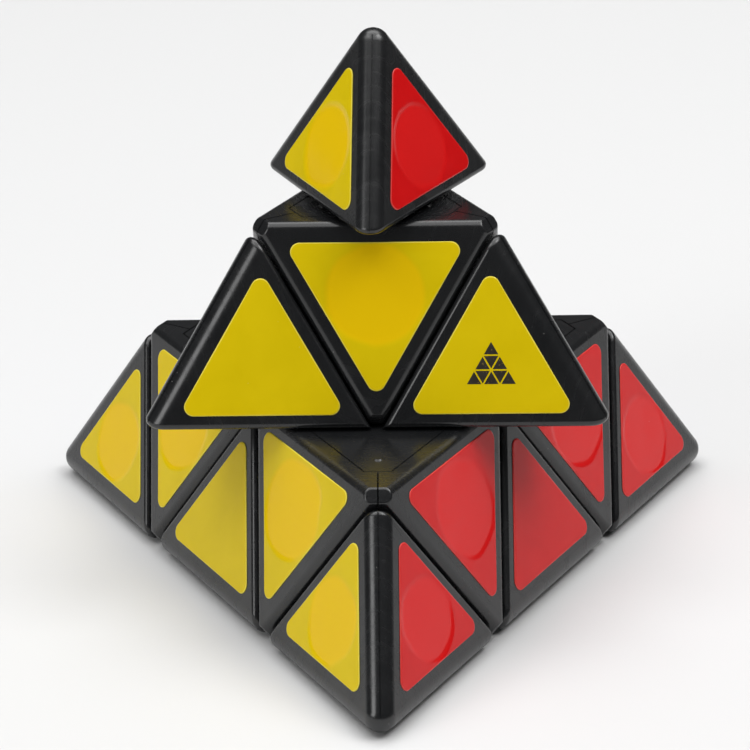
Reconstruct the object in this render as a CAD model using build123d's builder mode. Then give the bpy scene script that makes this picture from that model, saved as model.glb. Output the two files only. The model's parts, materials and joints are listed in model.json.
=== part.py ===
from build123d import *
import os
from math import radians, sin, sqrt, tan

# A three-layer pyramid puzzle: a regular tetrahedron, every face cut into nine triangular cells.
# Millimetres. The base lies on z = 0, the front corner points along -Y and the top corner is on +Z.

# Driving dimensions
CELL = 35.0  # side of one triangular cell between the cut planes
SEAM = 0.3  # gap between neighbouring pieces
TIP_EDGE_ROUND = 2.4  # rounding of the pyramid's long edges on the tips
EDGE_ROUND = 2.8  # rounding of the long edges on the edge pieces
RIM_ROUND = 0.8  # rounding of the edge pieces' rims along the cuts
AXIAL_ROUND = 1.3  # rounding of every edge of an axial piece
BLUNT_NEAR, BLUNT_FAR = 22.2, 22.9  # an axial piece's middle to its blunt corners by the tip, and to the others
BLUNT_ROUND = 0.5  # rounding of the blunt corners
TIP_ROUND = 0.7  # rounding of a tip's rim along its cut
TIP_DROP = 0.3  # how far the tips' cuts lie inside a third of the pyramid's height
TIP_GAP = 0.6  # extra gap between an axial piece and its tip
TIP_PRESS = 0.3  # how much of that gap the three lower tips take up
UPPER_TURN = 59.5  # how far the upper layer is turned at rest, degrees
TOP_TIP_TURN = -2.5  # how far the top tip stands from square with the base, degrees

# Shell and cap construction
CAP_DEPTH = 2.2  # thickness of the face caps and edge shells
CAP_JOINT = 0.2  # open joint between a cap and the body it covers
CORNER_BLOCK = 8.0  # length of a cap's corner block along the bisector of a cut face
PARTING = (0.2, 0.15)  # width and depth of the moulded parting line on the long edges
PIP_RADIUS, PIP_HEIGHT, PIP_PLACE = 0.75, 0.2, 11.9  # moulded pips, from a corner of their cut face
TIP_RIM = 2.3  # width of the tip's rim around its plug
PLUG_THICK = 2.0
WALL = 1.8

# Stickers: distances from the sharp sides of the cell, a third of the pyramid, to the film
FILM = 0.15
FILM_CORNER = 1.3
TIP_INSETS = (1.8, 4.7)  # from the cut, from each outer edge
AXIAL_INSETS = (3.8, 2.2)  # from the tip's cut, from each of the two other sides
EDGE_INSETS = (5.0, 2.4)  # from the outer edge, from each of the two other sides

# Mechanism, all centred on the pyramid's middle
CORE_RADIUS = 12.0  # inner limit of the feet
FOOT_RADIUS = 17.0  # outer limit of the feet, hooked under the axial pieces
FOOT_ANGLE = 77.0  # half-angle of the cone that a turning layer's feet fill
BOSS_RADIUS, BOSS_TOP = 3.2, 17.6
WEB_BOTTOM, WEB_TOP = 17.9, 20.7  # the axial piece's floor, held between boss and spring
SCREW_RADIUS, SCREW_ROOT = 1.5, 6.0
HEAD_RADIUS, HEAD_BOTTOM, HEAD_HEIGHT = 2.9, 27.2, 2.0
WASHER_RADIUS, WASHER_THICK = 3.3, 0.5
WIRE_RADIUS, SPRING_RADIUS, SPRING_TURNS = 0.3, 2.6, 5
SPRING_ROOM, BORE = 4.0, 5.0  # radii of the spring's pocket and of the tip's bore above it
GROOVE, GROOVE_BOTTOM, GROOVE_TOP = 5.8, 30.6, 32.6  # ring groove that holds the tip's lip
HUB, HUB_BORE, LIP, LIP_HEIGHT = 4.75, 3.5, 5.4, 1.0
PEG, PEG_LENGTH, BOSS_AROUND_PEG = 2.0, 3.0, 3.6

# Worked out from the driving dimensions
SIDE = 3 * CELL
FACE = SIDE * sqrt(6) / 12  # middle to each face
LAYER_CUT = FACE / 3  # middle to each layer's cut
TIP_CUT = FACE * 5 / 3 - TIP_DROP  # middle to each tip's cut
LONG_EDGE = FACE * sqrt(3)  # middle to each sharp long edge
HALF = SEAM / 2
AXIAL_TOP = TIP_CUT - HALF - TIP_GAP  # middle to each axial piece's top face
CELL_HEIGHT = CELL * sqrt(3) / 2
MIDDLE = Vector(0, 0, FACE + FILM)

CORNERS = {
    "top": Vector(0, 0, 1),
    "front": Vector(0, -sqrt(8) / 3, -1 / 3),
    "left": Vector(-sqrt(2 / 3), sqrt(2) / 3, -1 / 3),
    "right": Vector(sqrt(2 / 3), sqrt(2) / 3, -1 / 3),
}
COLOURS = {"top": "green", "front": "blue", "left": "red", "right": "yellow"}  # face opposite a corner

# Home position: the middle at the origin, a piece's own corner along +Z, a second corner towards +X
OWN = Vector(0, 0, 1)
SECOND = Vector(sqrt(8) / 3, 0, -1 / 3)
THIRD = Vector(-sqrt(2) / 3, sqrt(2 / 3), -1 / 3)
FOURTH = Vector(-sqrt(2) / 3, -sqrt(2 / 3), -1 / 3)
OTHERS = (SECOND, THIRD, FOURTH)


def seat(first, second):
    """The home position's frame when its own corner is first and its second corner is second."""
    own = CORNERS[first]
    return Plane(origin=MIDDLE, x_dir=CORNERS[second] + own / 3, z_dir=own)


def seated(piece, first, second, turn=0.0):
    """A copy of a home piece moved to its place and turned with its layer."""
    return Rotation(0, 0, turn) * (seat(first, second).location * piece)


def write(piece, label):
    """Name a finished piece and write it."""
    piece.label = label
    export_step(piece, f"parts/{label}.step")


def wall(normal, distance):
    """The plane at a distance from the middle, facing outwards along normal."""
    return Plane(origin=normal * distance, z_dir=normal)


def block(walls):
    """The convex block inside a list of walls."""
    with BuildPart() as solid:
        Box(2 * SIDE, 2 * SIDE, 2 * SIDE)
        for plane in walls:
            split(bisect_by=plane, keep=Keep.BOTTOM)
    return solid.part


def turned(plane, angle):
    """A plane turned about the home axis."""
    return Plane(origin=plane.origin.rotate(Axis.Z, angle), x_dir=plane.x_dir.rotate(Axis.Z, angle),
                 z_dir=plane.z_dir.rotate(Axis.Z, angle))


def turning_cone(direction, clearance):
    """The cone that a turning layer's feet fill, moved along its axis by the clearance."""
    reach = 2 * FOOT_RADIUS
    apex = Plane(origin=direction * (clearance / sin(radians(FOOT_ANGLE))), z_dir=direction)
    with BuildPart() as solid:
        with BuildSketch(Plane(origin=apex.origin, x_dir=apex.x_dir, z_dir=apex.y_dir)):
            with BuildLine():
                Polyline((0, 0), (reach * tan(radians(FOOT_ANGLE)), -reach), (0, -reach), close=True)
            make_face()
        revolve(axis=Axis(apex.origin, direction))
    return solid.part


def parting_line(corner, rounding):
    """A thin prism in the rounded edge between a piece's own corner and another one."""
    outwards = (OWN + corner).normalized()
    width, depth = PARTING
    reach = LONG_EDGE - rounding * (sqrt(3) - 1)
    along = Plane(origin=outwards * reach, x_dir=outwards, z_dir=OWN - corner)
    with BuildPart() as line:
        with BuildSketch(along):
            Rectangle(2 * depth, width)
        extrude(amount=SIDE / 2, both=True)
    return line.part


def ring(inner, outer, bottom, top):
    """A plain ring about the home axis."""
    with BuildPart() as solid:
        with BuildSketch(Plane.XY.offset(bottom)):
            Circle(outer)
            if inner:
                Circle(inner, mode=Mode.SUBTRACT)
        extrude(amount=top - bottom)
    return solid.part


# ---------------------------------------------------------------- core and fasteners


def make_core():
    """A ball with four bosses for the pivot screws."""
    with BuildPart() as core:
        with Locations(MIDDLE):
            Sphere(CORE_RADIUS - HALF)
        for corner, other in (("top", "front"), ("front", "top"), ("left", "top"), ("right", "top")):
            with BuildSketch(seat(corner, other)):
                Circle(BOSS_RADIUS)
            extrude(amount=BOSS_TOP)
        for corner, other in (("top", "front"), ("front", "top"), ("left", "top"), ("right", "top")):
            with BuildSketch(seat(corner, other).offset(SCREW_ROOT)):
                Circle(SCREW_RADIUS)
            extrude(amount=BOSS_TOP, mode=Mode.SUBTRACT)
    return core.part


def make_screw():
    """Shank and flanged head with a cross recess."""
    with BuildPart() as screw:
        with BuildSketch(Plane.XY.offset(SCREW_ROOT)):
            Circle(SCREW_RADIUS)
        extrude(amount=HEAD_BOTTOM - SCREW_ROOT)
        with BuildSketch(Plane.XY.offset(HEAD_BOTTOM)):
            Circle(HEAD_RADIUS)
        extrude(amount=HEAD_HEIGHT)
        fillet(screw.edges().group_by(Axis.Z)[-1], HEAD_HEIGHT / 3)
        with BuildSketch(Plane.XY.offset(HEAD_BOTTOM + HEAD_HEIGHT)):
            Rectangle(HEAD_RADIUS * 1.1, HEAD_RADIUS * 0.28)
            Rectangle(HEAD_RADIUS * 0.28, HEAD_RADIUS * 1.1)
        extrude(amount=-HEAD_HEIGHT * 0.6, mode=Mode.SUBTRACT)
    return screw.part


def make_spring():
    """Compression spring between the axial piece's web and the washer."""
    bottom = WEB_TOP + WIRE_RADIUS + HALF
    top = HEAD_BOTTOM - WASHER_THICK - WIRE_RADIUS
    with BuildPart() as spring:
        with BuildLine() as coil:
            Helix(pitch=(top - bottom) / SPRING_TURNS, height=top - bottom, radius=SPRING_RADIUS,
                  center=(0, 0, bottom))
        with BuildSketch(Plane(origin=coil.line @ 0, z_dir=coil.line % 0)):
            Circle(WIRE_RADIUS)
        sweep(is_frenet=True)
    return spring.part


# ---------------------------------------------------------------- axial pieces


def make_axial_blank():
    """The rounded octahedron below a tip, with its six corners blunted."""
    walls = [wall(OWN, AXIAL_TOP), wall(-OWN, -(LAYER_CUT + HALF))]
    for corner in OTHERS:
        walls += [wall(corner, LAYER_CUT - HALF), wall(-corner, FACE)]
    with BuildPart() as blank:
        add(block(walls))
        fillet(blank.edges(), AXIAL_ROUND)
        for corner in OTHERS:
            outwards = (OWN + corner).normalized()
            for end, reach in ((outwards, BLUNT_NEAR), (-outwards, BLUNT_FAR)):
                split(bisect_by=Plane(origin=OWN * FACE + end * reach, z_dir=end), keep=Keep.BOTTOM)
        ends = blank.faces().sort_by(SortBy.AREA).filter_by(GeomType.PLANE)[:6]
        fillet([edge for end in ends for edge in end.edges()], BLUNT_ROUND)
    return blank.part


def cap_plane(depth):
    """The plane under the cap on the face opposite the second corner, facing outwards."""
    centre = OWN * FACE - SECOND * (CELL / sqrt(6) - depth)
    return Plane(origin=centre, x_dir=OWN + SECOND / 3, z_dir=-SECOND)


def walls_inside_caps(depth):
    """The planes that bound the body: under each cap, and clear of the caps' corner blocks."""
    centre = OWN * FACE
    reach = CELL / sqrt(2) - (CORNER_BLOCK + depth - CAP_DEPTH) * sqrt(2 / 3)
    walls = [wall(-corner, FACE - depth) for corner in OTHERS]
    for corner in OTHERS:
        direction = (OWN + corner).normalized()
        for side in (direction, -direction):
            walls.append(Plane(origin=centre + side * reach, z_dir=side))
    return walls


def make_axial_cap(blank):
    """The outer face cap, with a peg under it. Its rims wrap on to the cut faces."""
    with BuildPart() as cap:
        add(blank)
        add(block(walls_inside_caps(CAP_DEPTH)), mode=Mode.SUBTRACT)
        for neighbour in (THIRD, FOURTH):
            away = (neighbour - SECOND).normalized()
            split(bisect_by=wall(-away, -CAP_JOINT / 2), keep=Keep.BOTTOM)
        Sphere(FOOT_RADIUS + HALF, mode=Mode.SUBTRACT)
        with BuildSketch(cap_plane(CAP_DEPTH)):
            Circle(PEG)
        extrude(amount=-PEG_LENGTH)
    return cap.part


def make_axial_stem():
    """The stem inside the feet's outer limit, between the cones of the three other layers."""
    with BuildPart() as stem:
        Sphere(FOOT_RADIUS + SEAM)
        Sphere(CORE_RADIUS + HALF, mode=Mode.SUBTRACT)
        split(bisect_by=Plane.XY.offset(CORE_RADIUS / 2), keep=Keep.TOP)
        for corner in OTHERS:
            add(turning_cone(corner, -HALF), mode=Mode.SUBTRACT)
        for plane in walls_inside_caps(CAP_DEPTH + CAP_JOINT):
            split(bisect_by=plane, keep=Keep.BOTTOM)
    return stem.part


def cut_planes_of_axial():
    """The four cut faces that other pieces slide over, each from its middle and towards a vertex."""
    centre = OWN * FACE
    top = Plane(origin=OWN * AXIAL_TOP, x_dir=SECOND + OWN / 3, z_dir=OWN)
    planes = [top]
    for corner in OTHERS:
        rise = LAYER_CUT - HALF - centre.dot(corner)
        planes.append(Plane(origin=centre + corner * rise, x_dir=OWN + corner / 3, z_dir=corner))
    return planes


def make_axial_body(blank):
    """The body inside the three caps: stem, web, spring pocket and the bore for the tip."""
    with BuildPart() as body:
        add(blank)
        for plane in walls_inside_caps(CAP_DEPTH + CAP_JOINT):
            split(bisect_by=plane, keep=Keep.BOTTOM)
        Sphere(FOOT_RADIUS + HALF, mode=Mode.SUBTRACT)
        add(make_axial_stem())
        for plane in cut_planes_of_axial():
            with BuildSketch(plane):
                with PolarLocations(CELL / sqrt(3) - PIP_PLACE, 3):
                    Circle(PIP_RADIUS)
            extrude(amount=PIP_HEIGHT, taper=45)
        for turn in (0, 120, 240):
            with BuildSketch(turned(cap_plane(CAP_DEPTH + CAP_JOINT), turn)):
                RegularPolygon(CELL * 0.36, 3, rotation=180)
                Circle(BOSS_AROUND_PEG, mode=Mode.SUBTRACT)
            extrude(amount=-PEG_LENGTH, mode=Mode.SUBTRACT)
            with BuildSketch(turned(cap_plane(CAP_DEPTH + CAP_JOINT), turn)):
                Circle(PEG + 0.05)
            extrude(amount=-PEG_LENGTH - 0.2, mode=Mode.SUBTRACT)
        add(ring(0, BOSS_RADIUS + SEAM, 0, WEB_BOTTOM), mode=Mode.SUBTRACT)
        add(ring(0, SCREW_RADIUS + SEAM, 0, WEB_TOP), mode=Mode.SUBTRACT)
        add(ring(0, SPRING_ROOM, WEB_TOP, TIP_CUT), mode=Mode.SUBTRACT)
        add(ring(0, BORE, HEAD_BOTTOM + HEAD_HEIGHT, TIP_CUT), mode=Mode.SUBTRACT)
        add(ring(0, GROOVE, GROOVE_BOTTOM, GROOVE_TOP), mode=Mode.SUBTRACT)
    return body.part


# ---------------------------------------------------------------- edge pieces


def make_edge_blank():
    """The rounded tetrahedron between its own corner and the second one."""
    walls = [wall(-OWN, -(LAYER_CUT + HALF)), wall(-SECOND, -(LAYER_CUT + HALF)),
             wall(-THIRD, FACE), wall(-FOURTH, FACE)]
    with BuildPart() as blank:
        add(block(walls))
        spine = blank.edges().sort_by_distance(Vector(0, 0, 0))[-1]
        fillet(spine, EDGE_ROUND)
        inner = blank.edges().sort_by_distance(Vector(0, 0, 0))[0]
        cut_faces = [face for face in blank.faces().filter_by(GeomType.PLANE)
                     if face.distance_to(inner) < 0.001 and len(face.edges()) == 4
                     and face.normal_at().dot(OWN + SECOND) < -0.1]
        rims = [edge for face in cut_faces for edge in face.edges() if edge.center() != inner.center()]
        fillet(rims, RIM_ROUND)
    return blank.part


def make_edge_shell(blank):
    """The V-shaped shell that carries both outer faces."""
    inside = [wall(-THIRD, FACE - CAP_DEPTH), wall(-FOURTH, FACE - CAP_DEPTH)]
    with BuildPart() as shell:
        add(blank)
        add(block(inside), mode=Mode.SUBTRACT)
        add(parting_line(SECOND, EDGE_ROUND), mode=Mode.SUBTRACT)
    return shell.part


def make_edge_foot(blank):
    """The inner body of an edge piece, hollow towards its shell, with the foot that holds it in."""
    with BuildPart() as foot:
        Sphere(FOOT_RADIUS - HALF)
        Sphere(CORE_RADIUS + HALF, mode=Mode.SUBTRACT)
        for corner in (OWN, SECOND):
            add(turning_cone(corner, HALF), mode=Mode.INTERSECT)
        for corner in (THIRD, FOURTH):
            add(turning_cone(corner, -HALF), mode=Mode.SUBTRACT)
    pocket_walls = [wall(-OWN, -(LAYER_CUT + HALF + WALL)), wall(-SECOND, -(LAYER_CUT + HALF + WALL))]
    with BuildPart() as pocket:
        add(block(pocket_walls))
        Sphere(FOOT_RADIUS + WALL, mode=Mode.SUBTRACT)
    with BuildPart() as body:
        add(blank)
        for corner in (THIRD, FOURTH):
            split(bisect_by=wall(-corner, FACE - CAP_DEPTH - CAP_JOINT), keep=Keep.BOTTOM)
        add(foot.part)
        add(pocket.part, mode=Mode.SUBTRACT)
    return body.part


# ---------------------------------------------------------------- tips


def make_tip_cap():
    """The hollow corner cap, with a seat for its plug."""
    bottom = TIP_CUT + HALF
    with BuildPart() as cavity:
        add(block([wall(-OWN, -bottom)] + [wall(-corner, FACE - TIP_RIM - WALL / 2) for corner in OTHERS]))
    with BuildPart() as cap:
        add(block([wall(-OWN, -bottom)] + [wall(-corner, FACE) for corner in OTHERS]))
        base = cap.edges().group_by(Axis.Z)[0]
        fillet(cap.edges() - base, TIP_EDGE_ROUND)
        fillet(cap.edges().group_by(Axis.Z)[0], TIP_ROUND)
        add(cavity.part, mode=Mode.SUBTRACT)
        with BuildSketch(Plane.XY.offset(bottom)):
            RegularPolygon(2 * (CELL_HEIGHT / 3 - TIP_RIM), 3)
            fillet(vertices(), RIM_ROUND)
        extrude(amount=PLUG_THICK, mode=Mode.SUBTRACT)
        for corner in OTHERS:
            add(parting_line(corner, TIP_EDGE_ROUND), mode=Mode.SUBTRACT)
    return cap.part


def make_tip_plug():
    """The flat plug that closes the cap, with the split hub that snaps into the axial piece."""
    bottom = TIP_CUT + HALF
    lip_bottom = (GROOVE_BOTTOM + GROOVE_TOP - LIP_HEIGHT) / 2
    with BuildPart() as plug:
        with BuildSketch(Plane.XY.offset(bottom)):
            RegularPolygon(2 * (CELL_HEIGHT / 3 - TIP_RIM - CAP_JOINT), 3)
            fillet(vertices(), RIM_ROUND)
        extrude(amount=PLUG_THICK)
        add(ring(0, HUB, lip_bottom, bottom))
        add(ring(0, LIP, lip_bottom, lip_bottom + LIP_HEIGHT))
        add(ring(0, HUB_BORE, lip_bottom, bottom), mode=Mode.SUBTRACT)
        with BuildSketch(Plane.XY.offset(lip_bottom)):
            for turn in (0, 60, 120):
                Rectangle(3 * LIP, 1.2, rotation=turn)
        extrude(amount=(bottom - lip_bottom) * 0.7, mode=Mode.SUBTRACT)
    return plug.part


# ---------------------------------------------------------------- stickers


def make_film(insets, centre, rotation):
    """A triangular sticker in its face's plane: centre is its cell's middle along X."""
    base, sides = insets
    height = CELL_HEIGHT - base - 2 * sides
    shift = base + height / 3 - CELL_HEIGHT / 3
    towards_apex = 1 if rotation == 0 else -1
    with BuildPart() as film:
        with BuildSketch(Plane.XY.offset(-FACE - FILM)):
            with Locations((centre + towards_apex * shift, 0)):
                RegularPolygon(height * 2 / 3, 3, rotation=rotation)
            fillet(vertices(), FILM_CORNER)
        extrude(amount=FILM)
    return film.part


def main():
    os.makedirs("parts", exist_ok=True)

    write(make_core(), "core")
    pivots = [("top", "front"), ("front", "top"), ("left", "top"), ("right", "top")]
    washer = ring(SCREW_RADIUS + 0.1, WASHER_RADIUS, HEAD_BOTTOM - WASHER_THICK, HEAD_BOTTOM)
    fasteners = {"pivot_screws": make_screw(), "pivot_washers": washer, "pivot_springs": make_spring()}
    for label, fastener in fasteners.items():
        write(Compound(children=[seated(fastener, *pivot) for pivot in pivots]), label)

    axial_blank = make_axial_blank()
    axial_body = make_axial_body(axial_blank)
    axial_cap = make_axial_cap(axial_blank)
    tip_cap = make_tip_cap()
    tip_plug = make_tip_plug()
    for corner, other in pivots:
        layer_turn = UPPER_TURN if corner == "top" else 0.0
        tip_turn = TOP_TIP_TURN if corner == "top" else 0.0
        press = Pos(0, 0, 0 if corner == "top" else -TIP_PRESS)
        write(seated(axial_body, corner, other, layer_turn), f"axial_{corner}_body")
        for face in CORNERS:
            if face != corner:
                cap = seated(axial_cap, corner, face, layer_turn)
                write(cap, f"axial_{corner}_cap_{COLOURS[face]}")
        write(seated(press * tip_cap, corner, other, tip_turn), f"tip_{corner}_cap")
        write(seated(press * tip_plug, corner, other, tip_turn), f"tip_{corner}_plug")

    edge_blank = make_edge_blank()
    edge_shell = make_edge_shell(edge_blank)
    edge_foot = make_edge_foot(edge_blank)
    for first, second in (("top", "front"), ("top", "left"), ("top", "right"),
                          ("front", "left"), ("front", "right"), ("left", "right")):
        turn = UPPER_TURN if first == "top" else 0.0
        faces = "_".join(COLOURS[face] for face in CORNERS if face not in (first, second))
        write(seated(edge_shell, first, second, turn), f"edge_{faces}_shell")
        write(seated(edge_foot, first, second, turn), f"edge_{faces}_foot")

    # On its face a tip or axial cell lies towards a corner, an edge cell away from the third corner
    tip_film = make_film(TIP_INSETS, CELL_HEIGHT * 4 / 3, 0)
    axial_film = make_film(AXIAL_INSETS, CELL_HEIGHT * 2 / 3, 180)
    edge_film = make_film(EDGE_INSETS, -CELL_HEIGHT * 2 / 3, 0)
    for face, colour in COLOURS.items():
        upper, base = [], []
        for corner in CORNERS:
            if corner == face:
                continue
            tip_turn = TOP_TIP_TURN if corner == "top" else 0.0
            press = Pos(SECOND * (0 if corner == "top" else -TIP_PRESS))
            write(seated(press * tip_film, face, corner, tip_turn), f"tip_{corner}_film_{colour}")
            if corner == "top":
                upper.append(seated(axial_film, face, corner, UPPER_TURN))
                base.append(seated(edge_film, face, corner))
            else:
                base.append(seated(axial_film, face, corner))
                if face == "top":
                    base.append(seated(edge_film, face, corner))
                else:
                    upper.append(seated(edge_film, face, corner, UPPER_TURN))
        write(Compound(children=base), f"base_films_{colour}")
        if upper:
            write(Compound(children=upper), f"upper_films_{colour}")


main()
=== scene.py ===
import json
import math

import bmesh
import bpy
from mathutils import Matrix, Vector, noise


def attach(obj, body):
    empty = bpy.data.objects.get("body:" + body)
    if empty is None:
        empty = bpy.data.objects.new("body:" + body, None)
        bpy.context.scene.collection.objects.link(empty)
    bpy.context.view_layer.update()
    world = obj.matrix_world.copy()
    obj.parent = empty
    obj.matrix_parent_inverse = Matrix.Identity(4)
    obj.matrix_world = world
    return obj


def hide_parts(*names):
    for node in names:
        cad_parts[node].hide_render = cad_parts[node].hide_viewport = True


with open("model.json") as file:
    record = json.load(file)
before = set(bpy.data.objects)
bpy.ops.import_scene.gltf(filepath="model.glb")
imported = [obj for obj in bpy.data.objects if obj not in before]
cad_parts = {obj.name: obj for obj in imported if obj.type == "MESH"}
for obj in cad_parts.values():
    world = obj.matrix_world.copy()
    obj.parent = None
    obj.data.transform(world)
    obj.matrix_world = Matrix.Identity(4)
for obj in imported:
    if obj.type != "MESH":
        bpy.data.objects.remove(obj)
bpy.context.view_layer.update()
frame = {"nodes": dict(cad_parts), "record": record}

MM = 0.001
MIDDLE = Vector(frame["record"]["behaviour"]["joints"][0]["pos_m"])

# Camera, in the puzzle's own frame
AZIMUTH = math.radians(0.68)
ELEVATION = math.radians(24.77)
ROLL = math.radians(-1.02)
DISTANCE = 526.9 * MM
TARGET = Vector((-0.55, 0.0, 28.15)) * MM
LENS = 174.9

# Shape of the stickers
FILM_CORNER = 1.3 * MM  # radius of a film's corners
FILM_BEVEL = 0.20 * MM  # width of the rounded cut edge
FILM_DROP = 0.09 * MM  # how far the cut edge curls down
BEVEL_STEPS = ((1.0, 0.0), (0.5, 0.25), (0.15, 0.65), (0.0, 1.0))  # shares of that width and drop
WIDEST_EDGE_FILM = 7.2 * MM  # axial films have a larger inscribed circle than this

# Round recesses in the plastic, which the films of tips and axial pieces sink into
TIP_DISC = 5.9 * MM  # radius under a tip's film
AXIAL_DISC = 7.0 * MM  # radius under an axial piece's film
DISC_SINK = 0.09 * MM  # how far a film sinks
DISC_SOFT = 0.55 * MM  # half the width of the slope at the rim
DISC_UNEVEN = 0.5 * MM  # how far the slope wanders in and out
SLOPE_STEPS = 6  # mesh rings on each side of the rim
RING_GAP = 0.02 * MM  # least distance between two of those rings

# Printed mark: nine small triangles in one triangle
MARK_ROWS = 3
MARK_SIDE = 7.2 * MM
MARK_GAP = 0.22 * MM
MARK_THICK = 0.02 * MM

# Vinyls: deep and light ink, painted reflection over the recess, painted highlight on the cut edge,
# strength of the shine
VINYLS = {
    "yellow_film": ((0.64, 0.475, 0.0025), (0.69, 0.515, 0.004), (0.78, 0.505, 0.0025),
                    (0.80, 0.70, 0.12), 0.13),
    "red_film": ((0.60, 0.0045, 0.0055), (0.64, 0.007, 0.008), (0.70, 0.012, 0.012),
                 (0.76, 0.10, 0.09), 0.24),
    "blue_film": ((0.006, 0.040, 0.32), (0.008, 0.055, 0.38), (0.012, 0.07, 0.44),
                  (0.10, 0.20, 0.55), 0.2),
    "green_film": ((0.006, 0.20, 0.035), (0.009, 0.25, 0.045), (0.014, 0.30, 0.06),
                   (0.12, 0.45, 0.16), 0.2),
}
RECESS_LIGHT_TINT = 0.95  # how fully the painted reflection over the recess replaces the ink
EDGE_HIGHLIGHT_TINT = 0.65  # how fully the painted highlight on the cut edge replaces the ink

# Studio: grey of the floor, light from all round, and area lamps in metres and watts
FLOOR_GREY = 0.665
FLOOR_GAP = 0.1 * MM  # the floor lies this far under the bottom stickers
WORLD_LIGHT = 0.06
LAMPS = (  # name, place, aim, size, power
    ("overhead", (0.04, -0.04, 1.1), (0.04, -0.04, 0), (1.4, 1.35), 12.4),
    ("back", (0, 0.6, 1.2), (0, 0.4, 0), (1.2, 0.6), 4.8),
    ("left", (-0.72, -0.63, 0.42), (0, 0, 0.03), (0.42, 0.52), 2.8),
    ("left_high", (-0.62, -0.10, 0.95), (0, 0, 0.03), (0.5, 0.5), 2.0),
    ("right_high", (0.62, -0.10, 0.95), (0, 0, 0.03), (0.5, 0.5), 4.4),
)


def smooth_step(value):
    value = min(max(value, 0.0), 1.0)
    return value * value * (3 - 2 * value)


def add_object(name, data):
    made = bpy.data.objects.new(name, data)
    bpy.context.scene.collection.objects.link(made)
    return made


# ------------------------------------------------------------------ shader helpers


def new_material(name):
    material = bpy.data.materials.new(name)
    material.use_nodes = True
    nodes = material.node_tree.nodes
    nodes.clear()
    shader = nodes.new("ShaderNodeBsdfPrincipled")
    output = nodes.new("ShaderNodeOutputMaterial")
    material.node_tree.links.new(shader.outputs["BSDF"], output.inputs["Surface"])
    return material, shader


class Wiring:
    """Adds and joins the nodes of one material. Lengths in patterns are millimetres."""

    WAVE_PERIOD = 0.314  # distance between the rings of a wave texture of scale 1

    def __init__(self, material, shader):
        self.nodes = material.node_tree.nodes
        self.links = material.node_tree.links
        self.shader = shader
        place = self.nodes.new("ShaderNodeTexCoord")
        scale = self.nodes.new("ShaderNodeVectorMath")
        scale.operation = "SCALE"
        scale.inputs["Scale"].default_value = 1 / MM
        self.links.new(place.outputs["Object"], scale.inputs[0])
        self.place = scale.outputs[0]

    def put(self, socket, value):
        """Feeds a socket from another one, or sets its constant."""
        if isinstance(value, bpy.types.NodeSocket):
            self.links.new(value, socket)
        else:
            socket.default_value = value

    def noise(self, period, detail=2.0, distortion=0.0, stretch=None, shift=0.0):
        node = self.nodes.new("ShaderNodeTexNoise")
        node.inputs["Scale"].default_value = 1 / period
        node.inputs["Detail"].default_value = detail
        node.inputs["Distortion"].default_value = distortion
        source = self.place
        if stretch or shift:
            mapping = self.nodes.new("ShaderNodeMapping")
            mapping.inputs["Location"].default_value = (shift, shift * 0.7, -shift)
            mapping.inputs["Scale"].default_value = stretch or (1, 1, 1)
            self.links.new(source, mapping.inputs["Vector"])
            source = mapping.outputs[0]
        self.links.new(source, node.inputs["Vector"])
        return node.outputs["Fac"]

    def cells(self, period):
        """Distance to the nearest of many scattered points."""
        node = self.nodes.new("ShaderNodeTexVoronoi")
        node.inputs["Scale"].default_value = 1 / period
        self.links.new(self.place, node.inputs["Vector"])
        return node.outputs["Distance"]

    def rings(self, period, distortion):
        """Fine rings about the vertical axis, as turning layers rub them."""
        node = self.nodes.new("ShaderNodeTexWave")
        node.wave_type = "RINGS"
        node.rings_direction = "Z"
        node.inputs["Scale"].default_value = self.WAVE_PERIOD / period
        node.inputs["Distortion"].default_value = distortion
        node.inputs["Detail"].default_value = 3
        node.inputs["Detail Scale"].default_value = 0.6
        self.links.new(self.place, node.inputs["Vector"])
        return node.outputs["Fac"]

    def attribute(self, name):
        node = self.nodes.new("ShaderNodeAttribute")
        node.attribute_name = name
        return node.outputs["Fac"]

    def span(self, value, low, high, to_low=0.0, to_high=1.0):
        """Maps a value's range low to high on to another, limited to it."""
        node = self.nodes.new("ShaderNodeMapRange")
        for name, number in (("From Min", low), ("From Max", high),
                             ("To Min", to_low), ("To Max", to_high)):
            node.inputs[name].default_value = number
        self.links.new(value, node.inputs["Value"])
        return node.outputs["Result"]

    def math(self, operation, one, two):
        node = self.nodes.new("ShaderNodeMath")
        node.operation = operation
        self.put(node.inputs[0], one)
        self.put(node.inputs[1], two)
        return node.outputs[0]

    def mix(self, factor, one, two):
        """Blends colour one into colour two; each is a socket or three numbers."""
        node = self.nodes.new("ShaderNodeMix")
        node.data_type = "RGBA"
        self.put(node.inputs["Factor"], factor)
        self.put(node.inputs["A"], (*one, 1) if isinstance(one, tuple) else one)
        self.put(node.inputs["B"], (*two, 1) if isinstance(two, tuple) else two)
        return node.outputs["Result"]

    def bump(self, height, distance, normal=None):
        """Raises the surface by a pattern: distance is the height of 1, in millimetres."""
        node = self.nodes.new("ShaderNodeBump")
        node.inputs["Distance"].default_value = distance * MM
        node.inputs["Strength"].default_value = 1.0
        self.links.new(height, node.inputs["Height"])
        if normal:
            self.links.new(normal, node.inputs["Normal"])
        return node.outputs["Normal"]

    def finish(self, colour, roughness, normal):
        self.links.new(colour, self.shader.inputs["Base Color"])
        self.links.new(roughness, self.shader.inputs["Roughness"])
        self.links.new(normal, self.shader.inputs["Normal"])


# ------------------------------------------------------------------ materials


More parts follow.
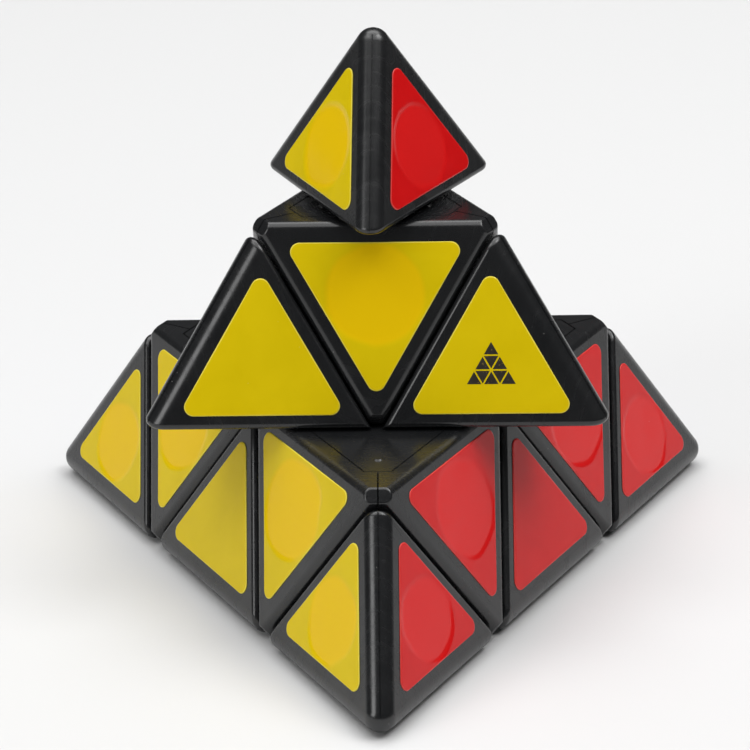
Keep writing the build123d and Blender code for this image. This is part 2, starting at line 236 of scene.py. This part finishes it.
def black_plastic():
    """Satin black ABS: fine mould grain, faint handling marks, rub rings and a little dust."""
    material, shader = new_material("black_plastic")
    wire = Wiring(material, shader)
    shader.inputs["IOR"].default_value = 1.5
    shader.inputs["Specular IOR Level"].default_value = 0.6

    patches = wire.span(wire.noise(9, 3, 0.4), 0.3, 0.7)
    colour = wire.mix(patches, (0.0075, 0.0080, 0.0088), (0.0115, 0.0118, 0.0125))
    flecks = wire.cells(2.6)
    dusty = wire.noise(7, 2, 0.0, None, 31.0)
    dust = wire.math("MULTIPLY", wire.span(flecks, 0.028, 0.018), wire.span(dusty, 0.53, 0.6))
    colour = wire.mix(dust, colour, (0.20, 0.195, 0.18))

    grease = wire.span(wire.noise(5, 4, 0.8, None, 11.0), 0.35, 0.7, 0.0, 0.08)
    rubbed = wire.span(wire.rings(1.3, 2.5), 0.8, 1.0, 0.0, 0.03)
    roughness = wire.math("ADD", wire.math("ADD", grease, rubbed), 0.21)
    roughness = wire.math("ADD", roughness, wire.math("MULTIPLY", dust, 0.3))

    grain = wire.bump(wire.noise(0.22, 2), 0.0016)
    hair = wire.span(wire.noise(0.7, 1, 0.3, (1, 0.12, 0.8), 5.0), 0.76, 0.80)
    handled = wire.span(wire.noise(8, 1, 0.0, None, 23.0), 0.55, 0.65)
    scratched = wire.bump(wire.math("MULTIPLY", hair, handled), -0.0003, grain)
    wavy = wire.bump(wire.noise(14, 1), 0.02, scratched)
    wire.finish(colour, roughness, wavy)
    return material


def vinyl(name, deep, light, painted_recess_light, rim, shine):
    """Glossy film: slightly uneven ink, a painted brighter reflection over the recess and a painted
    highlight along the cut edge.
    """
    material, shader = new_material(name)
    wire = Wiring(material, shader)
    shader.inputs["IOR"].default_value = 1.5
    shader.inputs["Specular IOR Level"].default_value = shine

    cloud = wire.noise(6, 3, 0.5)
    colour = wire.mix(wire.span(cloud, 0.25, 0.75), deep, light)
    streaks = wire.noise(1.6, 4, 0.6, (1, 1, 0.25), 17.0)
    colour = wire.mix(wire.span(streaks, 0.45, 0.8, 0.0, 0.25), colour, light)
    # painted reflection: a brighter, more saturated tone where the film dips into the recess
    colour = wire.mix(wire.math("MULTIPLY", wire.attribute("painted_recess_light"), RECESS_LIGHT_TINT), colour, painted_recess_light)
    # painted highlight: a paler tone along the film's cut edge
    colour = wire.mix(wire.math("MULTIPLY", wire.attribute("rim"), EDGE_HIGHLIGHT_TINT), colour, rim)
    specks = wire.span(wire.cells(3.4), 0.020, 0.012)
    colour = wire.mix(wire.math("MULTIPLY", specks, 0.5), colour, (0.55, 0.52, 0.45))

    roughness = wire.span(wire.noise(2.4, 4, 0.3, None, 3.0), 0.3, 0.8, 0.09, 0.17)
    peel = wire.bump(wire.noise(1.1, 2), 0.006)
    wire.finish(colour, roughness, wire.bump(wire.noise(0.14, 1), 0.0006, peel))
    return material


def print_ink():
    """Slightly broken black screen print."""
    material, shader = new_material("print_ink")
    wire = Wiring(material, shader)
    worn = wire.span(wire.noise(0.35, 3), 0.62, 0.72, 0.0, 0.5)
    colour = wire.mix(worn, (0.020, 0.016, 0.010), (0.30, 0.20, 0.02))
    roughness = wire.span(wire.noise(0.8, 2), 0.3, 0.7, 0.35, 0.5)
    wire.finish(colour, roughness, wire.bump(wire.noise(0.1, 2), 0.002))
    return material


def nylon():
    """Off-white moulded nylon with a matt, faintly mottled skin."""
    material, shader = new_material("core_nylon")
    wire = Wiring(material, shader)
    shader.inputs["Subsurface Weight"].default_value = 0.1
    shader.inputs["Subsurface Radius"].default_value = (0.001, 0.0009, 0.0007)
    mottle = wire.span(wire.noise(4, 4, 0.3), 0.3, 0.7)
    colour = wire.mix(mottle, (0.62, 0.60, 0.55), (0.74, 0.72, 0.68))
    roughness = wire.span(wire.noise(1.5, 3), 0.3, 0.7, 0.42, 0.55)
    wire.finish(colour, roughness, wire.bump(wire.noise(0.3, 3), 0.004))
    return material


def steel(name, tone, smooth):
    """Plated or drawn steel with fine marks along it."""
    material, shader = new_material(name)
    wire = Wiring(material, shader)
    shader.inputs["Metallic"].default_value = 1.0
    stains = wire.span(wire.noise(1.2, 3), 0.3, 0.7)
    colour = wire.mix(stains, (tone * 0.85,) * 3, (tone, tone, tone * 1.03))
    roughness = wire.span(wire.noise(0.25, 3, 0.0, (1, 1, 6)), 0.3, 0.7, smooth, smooth + 0.12)
    wire.finish(colour, roughness, wire.bump(wire.noise(0.12, 2, 0.0, (1, 1, 8)), 0.001))
    return material


def make_materials():
    made = {"black_plastic": black_plastic()}
    for name, look in VINYLS.items():
        made[name] = vinyl(name, *look)
    made["core_nylon"] = nylon()
    made["screw_steel"] = steel("screw_steel", 0.55, 0.25)
    made["spring_steel"] = steel("spring_steel", 0.60, 0.18)
    return made


# ------------------------------------------------------------------ stickers


def film_islands(node):
    """Each separate film of a CAD node: its vertices and its outward normal."""
    mesh = bmesh.new()
    mesh.from_mesh(node.data)
    bmesh.ops.remove_doubles(mesh, verts=mesh.verts, dist=1e-7)
    left = set(mesh.verts)
    films = []
    while left:
        grown, front = set(), [min(left, key=lambda vert: vert.index)]
        while front:
            vert = front.pop()
            if vert in grown:
                continue
            grown.add(vert)
            front += [edge.other_vert(vert) for edge in vert.link_edges]
        left -= grown
        faces = {face for vert in grown for face in vert.link_faces}
        widest = max(faces, key=lambda face: (face.calc_area(), -face.index))
        normal = widest.normal.copy()
        centre = sum((vert.co for vert in grown), Vector()) / len(grown)
        if normal.dot(centre - MIDDLE) < 0:
            normal.negate()
        films.append(([vert.co.copy() for vert in grown], normal))
    mesh.free()
    return films


def seat_of_film(points, normal):
    """A film's seat, inscribed radius and thickness. The seat has X towards one corner,
    Z outwards and its origin in the middle of the film's underside."""
    across = normal.orthogonal().normalized()
    along = normal.cross(across)
    flat = [(point.dot(across), point.dot(along)) for point in points]
    thirds = [math.radians(turn) for turn in (0, 120, 240)]

    def reach(angle):
        return max(x * math.cos(angle) + y * math.sin(angle) for x, y in flat)

    def girth(angle):
        return sum(reach(angle + turn) for turn in thirds)

    # The girth is least where the three directions point at the film's sides
    best = min((math.radians(step) for step in range(120)), key=girth)
    best = min((best + math.radians(step / 50) for step in range(-60, 61)), key=girth)
    middle = [0.0, 0.0]
    for turn in thirds:
        angle = best + turn
        middle[0] += reach(angle) * math.cos(angle) * 2 / 3
        middle[1] += reach(angle) * math.sin(angle) * 2 / 3
    heights = [point.dot(normal) for point in points]
    corner = best + math.pi
    x_axis = across * math.cos(corner) + along * math.sin(corner)
    y_axis = normal.cross(x_axis)
    origin = across * middle[0] + along * middle[1] + normal * min(heights)
    turned = Matrix((x_axis, y_axis, normal)).transposed().to_4x4()
    return Matrix.Translation(origin) @ turned, girth(best) / 3, max(heights) - min(heights)


def outline(inradius, corner_radius):
    """Directions round a rounded triangle and the distance to its edge in each."""
    out = []
    arm = 2 * (inradius - corner_radius)
    bends, straights = 12, 14
    for corner in range(3):
        base = math.radians(120 * corner)
        for step in range(bends + 1):
            bend = math.radians(-60 + 120 * step / bends)
            x = arm + corner_radius * math.cos(bend)
            y = corner_radius * math.sin(bend)
            out.append((base + math.atan2(y, x), math.hypot(x, y)))
        start = out[-1][0]
        end = base + math.radians(120) - (start - base)
        for step in range(1, straights):
            angle = start + (end - start) * step / straights
            out.append((angle, inradius / math.cos(angle - base - math.radians(60))))
    return out


def film_rings(edge, recess, thick):
    """The rings of a film's mesh from the middle outwards: (direction, radius, drop) of each point."""
    rings = []
    if recess:
        reach = DISC_SOFT + DISC_UNEVEN
        for share in (0.3, 0.6, 0.85):
            rings.append([(angle, (recess - reach) * share, 0.0) for angle, _ in edge])
        for step in range(-SLOPE_STEPS, SLOPE_STEPS + 1):
            place = recess + reach * step / SLOPE_STEPS
            room = FILM_BEVEL * 1.2 + RING_GAP * (SLOPE_STEPS - step)
            rings.append([(angle, min(place, far - room), 0.0) for angle, far in edge])
    else:
        rings.append([(angle, far * 0.35, 0.0) for angle, far in edge])
    inner = [radius for _, radius, _ in rings[-1]]
    for share in (0.35, 0.7, 1.0):
        rings.append([(angle, near + (far - FILM_BEVEL * 1.15 - near) * share, 0.0)
                      for (angle, far), near in zip(edge, inner)])
    for inset, drop in BEVEL_STEPS:
        rings.append([(angle, far - FILM_BEVEL * inset, FILM_DROP * drop) for angle, far in edge])
    rings.append([(angle, far, thick) for angle, far in edge])
    return rings


def add_film(mesh, seat, inradius, thick, recess):
    """Adds one film, dished where it spans a recess. Two vertex layers mask the painted highlight on
    the cut edge and the painted reflection over the recess on the vinyl.
    """
    rim_layer = mesh.verts.layers.float["rim"]
    recess_light_layer = mesh.verts.layers.float["painted_recess_light"]

    def vert(angle, radius, drop):
        place = Vector((radius * math.cos(angle), radius * math.sin(angle), thick - drop))
        sink = 0.0
        if recess:
            spot = (seat @ place) / MM
            wander = DISC_UNEVEN * noise.noise(spot / 4)
            sink = smooth_step((recess + DISC_SOFT + wander - radius) / (2 * DISC_SOFT))
            uneven = 1 + 0.8 * noise.noise(spot / 6 + Vector((9, 4, 7)))
            place.z -= DISC_SINK * sink * uneven
        new = mesh.verts.new(seat @ place)
        # mask of the painted reflection over the recess, as strong as the film sinks
        new[recess_light_layer] = sink
        # mask of the painted highlight along the cut edge
        new[rim_layer] = 1.0 if drop > 0 else 0.0
        return new

    rings = film_rings(outline(inradius, FILM_CORNER), recess, thick)
    loops = [[vert(*point) for point in ring] for ring in rings]
    hub = vert(0.0, 0.0, 0.0)
    count = len(loops[0])
    for index in range(count):
        after = (index + 1) % count
        mesh.faces.new((hub, loops[0][index], loops[0][after]))
        for near, far in zip(loops, loops[1:]):
            mesh.faces.new((near[index], far[index], far[after], near[after]))
    mesh.faces.new(list(reversed(loops[-1])))


def recess_radius(name, inradius):
    """Radius of the recess under a film of a node: there is none under an edge piece's film."""
    if name.startswith("tip"):
        return TIP_DISC
    return AXIAL_DISC if inradius > WIDEST_EDGE_FILM else 0.0


def make_films(materials, body_of_node):
    """Replaces each node of flat CAD films by vinyls with a dish and a rounded cut edge."""
    for entry in frame["record"]["subparts"]:
        name, slot = entry["node"], entry["material_slot"]
        if not slot.endswith("_film"):
            continue
        mesh = bmesh.new()
        mesh.verts.layers.float.new("rim")
        mesh.verts.layers.float.new("painted_recess_light")
        for points, normal in film_islands(frame["nodes"][name]):
            seat, inradius, thick = seat_of_film(points, normal)
            add_film(mesh, seat, inradius, thick, recess_radius(name, inradius))
        data = bpy.data.meshes.new("vinyl_" + name)
        mesh.to_mesh(data)
        mesh.free()
        for polygon in data.polygons:
            polygon.use_smooth = len(polygon.vertices) < 5  # all but the flat underside
        data.materials.append(materials[slot])
        piece = add_object("vinyl_" + name, data)
        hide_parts(name)
        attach(piece, body_of_node[name])


# ------------------------------------------------------------------ printed mark


def add_prism(mesh, seat, x, y, radius, upright, levels):
    """Adds one small triangle of print, from the lower level to the upper one."""
    turn = 90 if upright else -90
    ring = []
    for level in levels:
        for third in range(3):
            angle = math.radians(turn + 120 * third)
            spot = Vector((x + radius * math.cos(angle), y + radius * math.sin(angle), level))
            ring.append(mesh.verts.new(seat @ spot))
    mesh.faces.new((ring[3], ring[4], ring[5]))
    mesh.faces.new((ring[2], ring[1], ring[0]))
    for third in range(3):
        after = (third + 1) % 3
        mesh.faces.new((ring[third], ring[after], ring[after + 3], ring[third + 3]))


def make_mark(material, body_of_node):
    """A triangle of small triangles, printed on the right upright sticker of the turned layer."""
    node = "upper_films_yellow"
    films = film_islands(frame["nodes"][node])
    points, normal = max(films, key=lambda film: sum(point.x for point in film[0]) / len(film[0]))
    seat, _, thick = seat_of_film(points, normal)

    def height_of_corner(turn):
        return (seat @ Matrix.Rotation(math.radians(120 * turn), 4, "Z") @ Vector((1, 0, 0))).z

    top_corner = max(range(3), key=height_of_corner)
    seat = seat @ Matrix.Rotation(math.radians(120 * top_corner - 90), 4, "Z")
    mesh = bmesh.new()
    side = MARK_SIDE / MARK_ROWS
    height = side * math.sqrt(3) / 2
    radius = side / math.sqrt(3) - MARK_GAP
    for row in range(MARK_ROWS):
        along = MARK_ROWS - 1 - row  # triangles that stand in this row, less one
        for place in range(2 * along + 1):
            upright = place % 2 == 0
            x = (place - along) * side / 2
            y = (row - 1) * height + (0 if upright else height / 3)
            add_prism(mesh, seat, x, y, radius, upright, (thick, thick + MARK_THICK))
    data = bpy.data.meshes.new("printed_mark")
    mesh.to_mesh(data)
    mesh.free()
    data.materials.append(material)
    piece = add_object("printed_mark", data)
    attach(piece, body_of_node[node])


# ------------------------------------------------------------------ camera, floor and light


def make_camera():
    back = Vector((math.sin(AZIMUTH) * math.cos(ELEVATION),
                   -math.cos(AZIMUTH) * math.cos(ELEVATION), math.sin(ELEVATION)))
    across = Vector((0, 0, 1)).cross(back).normalized()
    upward = back.cross(across)
    right = across * math.cos(ROLL) + upward * math.sin(ROLL)
    up = upward * math.cos(ROLL) - across * math.sin(ROLL)
    camera = add_object("camera", bpy.data.cameras.new("camera"))
    turn = Matrix((right, up, back)).transposed().to_4x4()
    camera.matrix_world = Matrix.Translation(TARGET + back * DISTANCE) @ turn
    camera.data.lens = LENS
    camera.data.sensor_width = 36
    camera.data.clip_start = 0.01
    bpy.context.scene.camera = camera


def make_floor():
    bpy.ops.mesh.primitive_plane_add(size=8, location=(0, 0, -FLOOR_GAP))
    floor = bpy.context.object
    floor.name = "floor"
    material, shader = new_material("floor_white")
    shader.inputs["Base Color"].default_value = (FLOOR_GREY, FLOOR_GREY, FLOOR_GREY, 1)
    shader.inputs["Roughness"].default_value = 0.7
    shader.inputs["Specular IOR Level"].default_value = 0.2
    floor.data.materials.append(material)


def area_lamp(name, place, aim, size, power):
    data = bpy.data.lights.new(name, "AREA")
    data.shape = "RECTANGLE"
    data.size, data.size_y = size
    data.energy = power
    lamp = add_object(name, data)
    lamp.location = place
    lamp.rotation_euler = (Vector(aim) - Vector(place)).to_track_quat("-Z", "Y").to_euler()


def make_lights():
    """Soft boxes overhead, behind and high on both sides, and one low on the left, which
    draws the narrow bright band on the front edge."""
    world = bpy.data.worlds.new("studio")
    world.use_nodes = True
    world.node_tree.nodes["Background"].inputs["Color"].default_value = (1, 1, 1, 1)
    world.node_tree.nodes["Background"].inputs["Strength"].default_value = WORLD_LIGHT
    bpy.context.scene.world = world
    for lamp in LAMPS:
        area_lamp(*lamp)


def main():
    bodies = frame["record"]["behaviour"]["bodies"]
    body_of_node = {node: body for body, nodes in bodies.items() for node in nodes}
    materials = make_materials()
    for entry in frame["record"]["subparts"]:
        node = frame["nodes"][entry["node"]]
        node.data.materials.clear()
        node.data.materials.append(materials[entry["material_slot"]])
    make_films(materials, body_of_node)
    make_mark(print_ink(), body_of_node)
    make_camera()
    make_floor()
    make_lights()
    bpy.context.scene.view_settings.view_transform = "Standard"


main()
